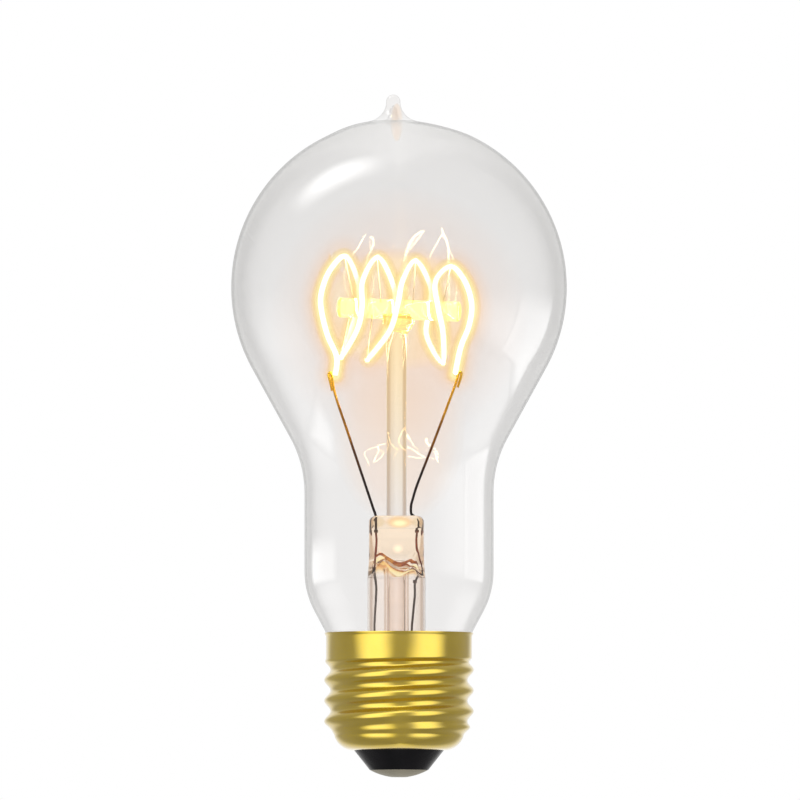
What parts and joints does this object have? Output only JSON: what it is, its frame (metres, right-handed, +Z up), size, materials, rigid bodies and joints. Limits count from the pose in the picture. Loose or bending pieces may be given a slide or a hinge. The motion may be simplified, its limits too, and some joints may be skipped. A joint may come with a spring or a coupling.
{
  "type": "filament bulb",
  "caption": "Clear pear-shaped filament lamp with an exhaust tip, a looped filament on a glass cross bar and a brass screw base.",
  "frame": {"origin": "centre of the small flat at the bottom of the centre contact", "axes": "+Z up the lamp's axis from the contact to the tip; -Y towards the picture's camera; +X to its right"},
  "size_m": [0.059, 0.059, 0.1201],
  "materials": {
    "clear_glass": "clear, blown, smooth",
    "stem_glass": "clear, fire polished",
    "lit_filament": "white hot wire",
    "hook_wire": "drawn wire",
    "inner_lead": "heat-tinted drawn wire",
    "seal_wire": "oxidised copper-clad wire",
    "outer_lead": "dull copper wire",
    "shell_brass": "rolled, bright",
    "cement": "baked, matt",
    "black_glass": "glossy black glass",
    "plate_brass": "stamped",
    "solder": "dull solder"
  },
  "bodies": {
    "root": {"envelope": "clear_glass", "flare_tube": "stem_glass", "stem_press": "stem_glass", "exhaust_tube": "stem_glass", "support_rod": "stem_glass", "cross_bar": "stem_glass", "filament": "lit_filament", "top_hook_1": "hook_wire", "top_hook_2": "hook_wire", "top_hook_3": "hook_wire", "top_hook_4": "hook_wire", "bottom_hook_1": "hook_wire", "bottom_hook_2": "hook_wire", "bottom_hook_3": "hook_wire", "left_inner_lead": "inner_lead", "right_inner_lead": "inner_lead", "left_seal_wire": "seal_wire", "right_seal_wire": "seal_wire", "shell_lead": "outer_lead", "contact_lead": "outer_lead", "screw_shell": "shell_brass", "basing_cement": "cement", "insulator": "black_glass", "contact_plate": "plate_brass", "contact_solder": "solder", "shell_solder": "solder"}
  },
  "joints": []
}
